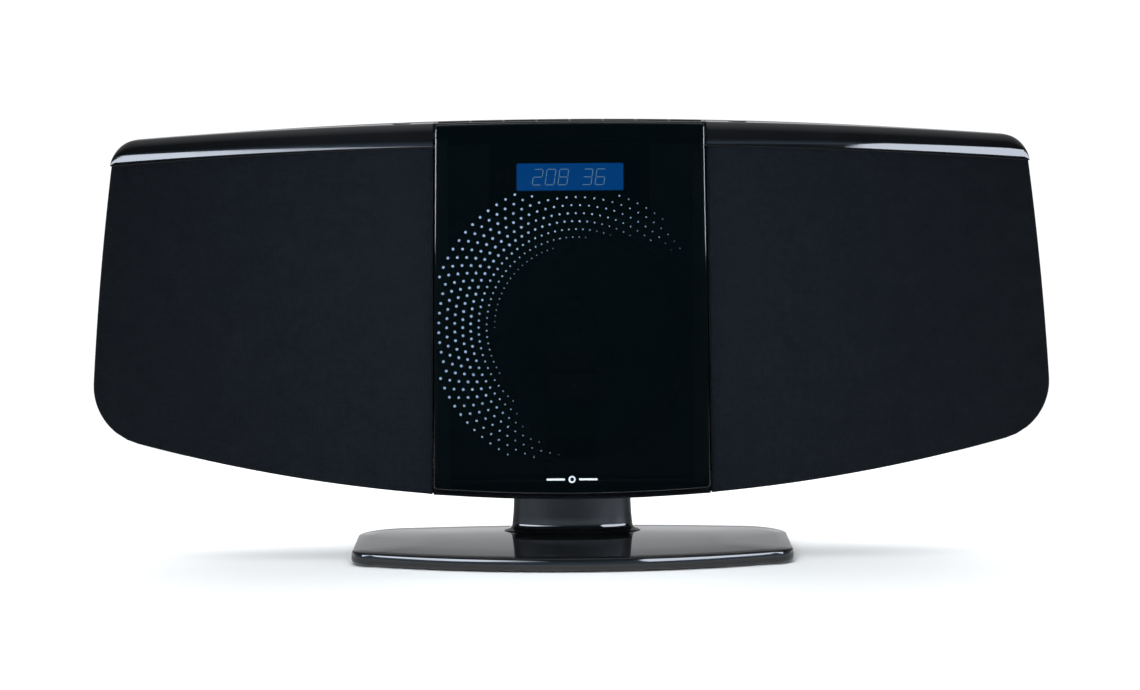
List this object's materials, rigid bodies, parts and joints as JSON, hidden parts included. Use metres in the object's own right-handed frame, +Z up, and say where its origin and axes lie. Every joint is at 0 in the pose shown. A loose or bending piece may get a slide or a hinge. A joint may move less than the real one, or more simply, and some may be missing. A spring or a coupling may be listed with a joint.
{
  "type": "mini hifi system",
  "caption": "Wide boat-shaped compact-disc stereo with cloth-covered loudspeaker wings, a sliding smoked glass door, top keys and a low desk stand.",
  "frame": {"origin": "on the desk, under the middle of the object's box", "axes": "+Z up, the front faces -Y, +X to the right seen from the front"},
  "size_m": [0.5226, 0.1252, 0.2404],
  "materials": {
    "gloss_black": "high gloss, piano black",
    "dark_plastic": "fine matt grain",
    "well_blue": "satin, dark blue black",
    "cloth_navy": "acoustically open woven cloth, dark navy",
    "smoked_glass": "polished, smoked teal",
    "neck_grey": "satin dark grey lacquer",
    "rubber_black": "matt",
    "steel": "zinc plated",
    "ferrite": "dark, with a stamped steel basket",
    "cone_paper": "matt",
    "board_green": "solder resist",
    "display_blue": "blue backlit segment display",
    "ir_red": "dark red infra-red filter"
  },
  "bodies": {
    "cabinet": {"base_shell": "gloss_black", "left_top_cap": "gloss_black", "right_top_cap": "gloss_black", "control_panel": "gloss_black", "display_bezel": "gloss_black", "rear_cover": "dark_plastic", "front_cabinet": "dark_plastic", "left_grille_frame": "dark_plastic", "right_grille_frame": "dark_plastic", "dc_jack": "dark_plastic", "aux_jack": "dark_plastic", "disc_well": "well_blue", "left_grille_cloth": "cloth_navy", "right_grille_cloth": "cloth_navy", "stand_neck": "neck_grey", "rubber_foot_1": "rubber_black", "rubber_foot_2": "rubber_black", "rubber_foot_3": "rubber_black", "rubber_foot_4": "rubber_black", "drive_belt": "rubber_black", "left_driver_surround": "rubber_black", "right_driver_surround": "rubber_black", "base_ballast_plate": "steel", "neck_bolt": "steel", "door_guide_rod": "steel", "door_motor": "steel", "mech_chassis": "steel", "pickup_guide_rod": "steel", "sled_motor": "steel", "spindle_motor": "steel", "rear_screw_1": "steel", "rear_screw_2": "steel", "rear_screw_3": "steel", "rear_screw_4": "steel", "left_driver_frame": "ferrite", "right_driver_frame": "ferrite", "key_board": "board_green", "main_board": "board_green", "lcd_panel": "display_blue", "ir_window": "ir_red"},
    "key_1": {"key_1": "gloss_black"},
    "key_2": {"key_2": "gloss_black"},
    "key_3": {"key_3": "gloss_black"},
    "key_4": {"key_4": "gloss_black"},
    "key_5": {"key_5": "gloss_black"},
    "key_6": {"key_6": "gloss_black"},
    "key_7": {"key_7": "gloss_black"},
    "key_8": {"key_8": "gloss_black"},
    "left_shoulder_button": {"left_shoulder_button": "gloss_black"},
    "right_shoulder_button": {"right_shoulder_button": "gloss_black"},
    "door": {"door_glass": "smoked_glass", "door_carriage": "dark_plastic", "door_edge_trim": "dark_plastic"},
    "motor_pulley": {"motor_pulley": "dark_plastic"},
    "idler_pulley": {"idler_pulley": "dark_plastic"},
    "turntable": {"turntable": "dark_plastic"},
    "pickup": {"optical_pickup": "dark_plastic"},
    "lead_screw": {"sled_lead_screw": "steel"},
    "left_cone": {"left_driver_cone": "cone_paper"},
    "right_cone": {"right_driver_cone": "cone_paper"}
  },
  "joints": [
    {"name": "key_1_press", "type": "slide", "parent": "cabinet", "child": "key_1", "axis": [0, 0, -1], "range_m": [0, 0.0008], "stiffness_N_per_m": 300},
    {"name": "key_2_press", "type": "slide", "parent": "cabinet", "child": "key_2", "axis": [0, 0, -1], "range_m": [0, 0.0008], "stiffness_N_per_m": 300},
    {"name": "key_3_press", "type": "slide", "parent": "cabinet", "child": "key_3", "axis": [0, 0, -1], "range_m": [0, 0.0008], "stiffness_N_per_m": 300},
    {"name": "key_4_press", "type": "slide", "parent": "cabinet", "child": "key_4", "axis": [0, 0, -1], "range_m": [0, 0.0008], "stiffness_N_per_m": 300},
    {"name": "key_5_press", "type": "slide", "parent": "cabinet", "child": "key_5", "axis": [0, 0, -1], "range_m": [0, 0.0008], "stiffness_N_per_m": 300},
    {"name": "key_6_press", "type": "slide", "parent": "cabinet", "child": "key_6", "axis": [0, 0, -1], "range_m": [0, 0.0008], "stiffness_N_per_m": 300},
    {"name": "key_7_press", "type": "slide", "parent": "cabinet", "child": "key_7", "axis": [0, 0, -1], "range_m": [0, 0.0008], "stiffness_N_per_m": 300},
    {"name": "key_8_press", "type": "slide", "parent": "cabinet", "child": "key_8", "axis": [0, 0, -1], "range_m": [0, 0.0008], "stiffness_N_per_m": 300},
    {"name": "left_shoulder_button_press", "type": "slide", "parent": "cabinet", "child": "left_shoulder_button", "axis": [0, 0, -1], "range_m": [0, 0.0008], "stiffness_N_per_m": 300},
    {"name": "right_shoulder_button_press", "type": "slide", "parent": "cabinet", "child": "right_shoulder_button", "axis": [0, 0, -1], "range_m": [0, 0.0008], "stiffness_N_per_m": 300},
    {"name": "door_slide", "type": "slide", "parent": "cabinet", "child": "door", "axis": [1, 0, 0], "range_m": [0, 0.138]},
    {"name": "motor_pulley_spin", "type": "hinge", "parent": "cabinet", "child": "motor_pulley", "pos_m": [-0.075, -0.00675, 0.0435], "axis": [0, 0, 1], "range_deg": [-10, 1700]},
    {"name": "idler_pulley_spin", "type": "hinge", "parent": "cabinet", "child": "idler_pulley", "pos_m": [0.075, -0.00675, 0.0435], "axis": [0, 0, 1], "range_deg": [-10, 1700]},
    {"name": "turntable_spin", "type": "hinge", "parent": "cabinet", "child": "turntable", "pos_m": [0, -0.013, 0.12], "axis": [0, 1, 0], "continuous": true},
    {"name": "pickup_slide", "type": "slide", "parent": "cabinet", "child": "pickup", "axis": [0, 0, -1], "range_m": [0, 0.033]},
    {"name": "lead_screw_spin", "type": "hinge", "parent": "cabinet", "child": "lead_screw", "pos_m": [-0.024, -0.0035, 0.078], "axis": [0, 0, 1], "range_deg": [-10, 4000]},
    {"name": "left_cone_stroke", "type": "slide", "parent": "cabinet", "child": "left_cone", "axis": [0, 1, 0], "range_m": [-0.0025, 0.0025], "stiffness_N_per_m": 1500, "deforming": ["left_driver_surround"]},
    {"name": "right_cone_stroke", "type": "slide", "parent": "cabinet", "child": "right_cone", "axis": [0, 1, 0], "range_m": [-0.0025, 0.0025], "stiffness_N_per_m": 1500, "deforming": ["right_driver_surround"]}
  ],
  "couplings": [
    {"joint": "motor_pulley_spin", "follows": "door_slide", "rad_per_m": 204.08},
    {"joint": "idler_pulley_spin", "follows": "door_slide", "rad_per_m": 204.08},
    {"joint": "lead_screw_spin", "follows": "pickup_slide", "rad_per_m": 2094.4}
  ]
}
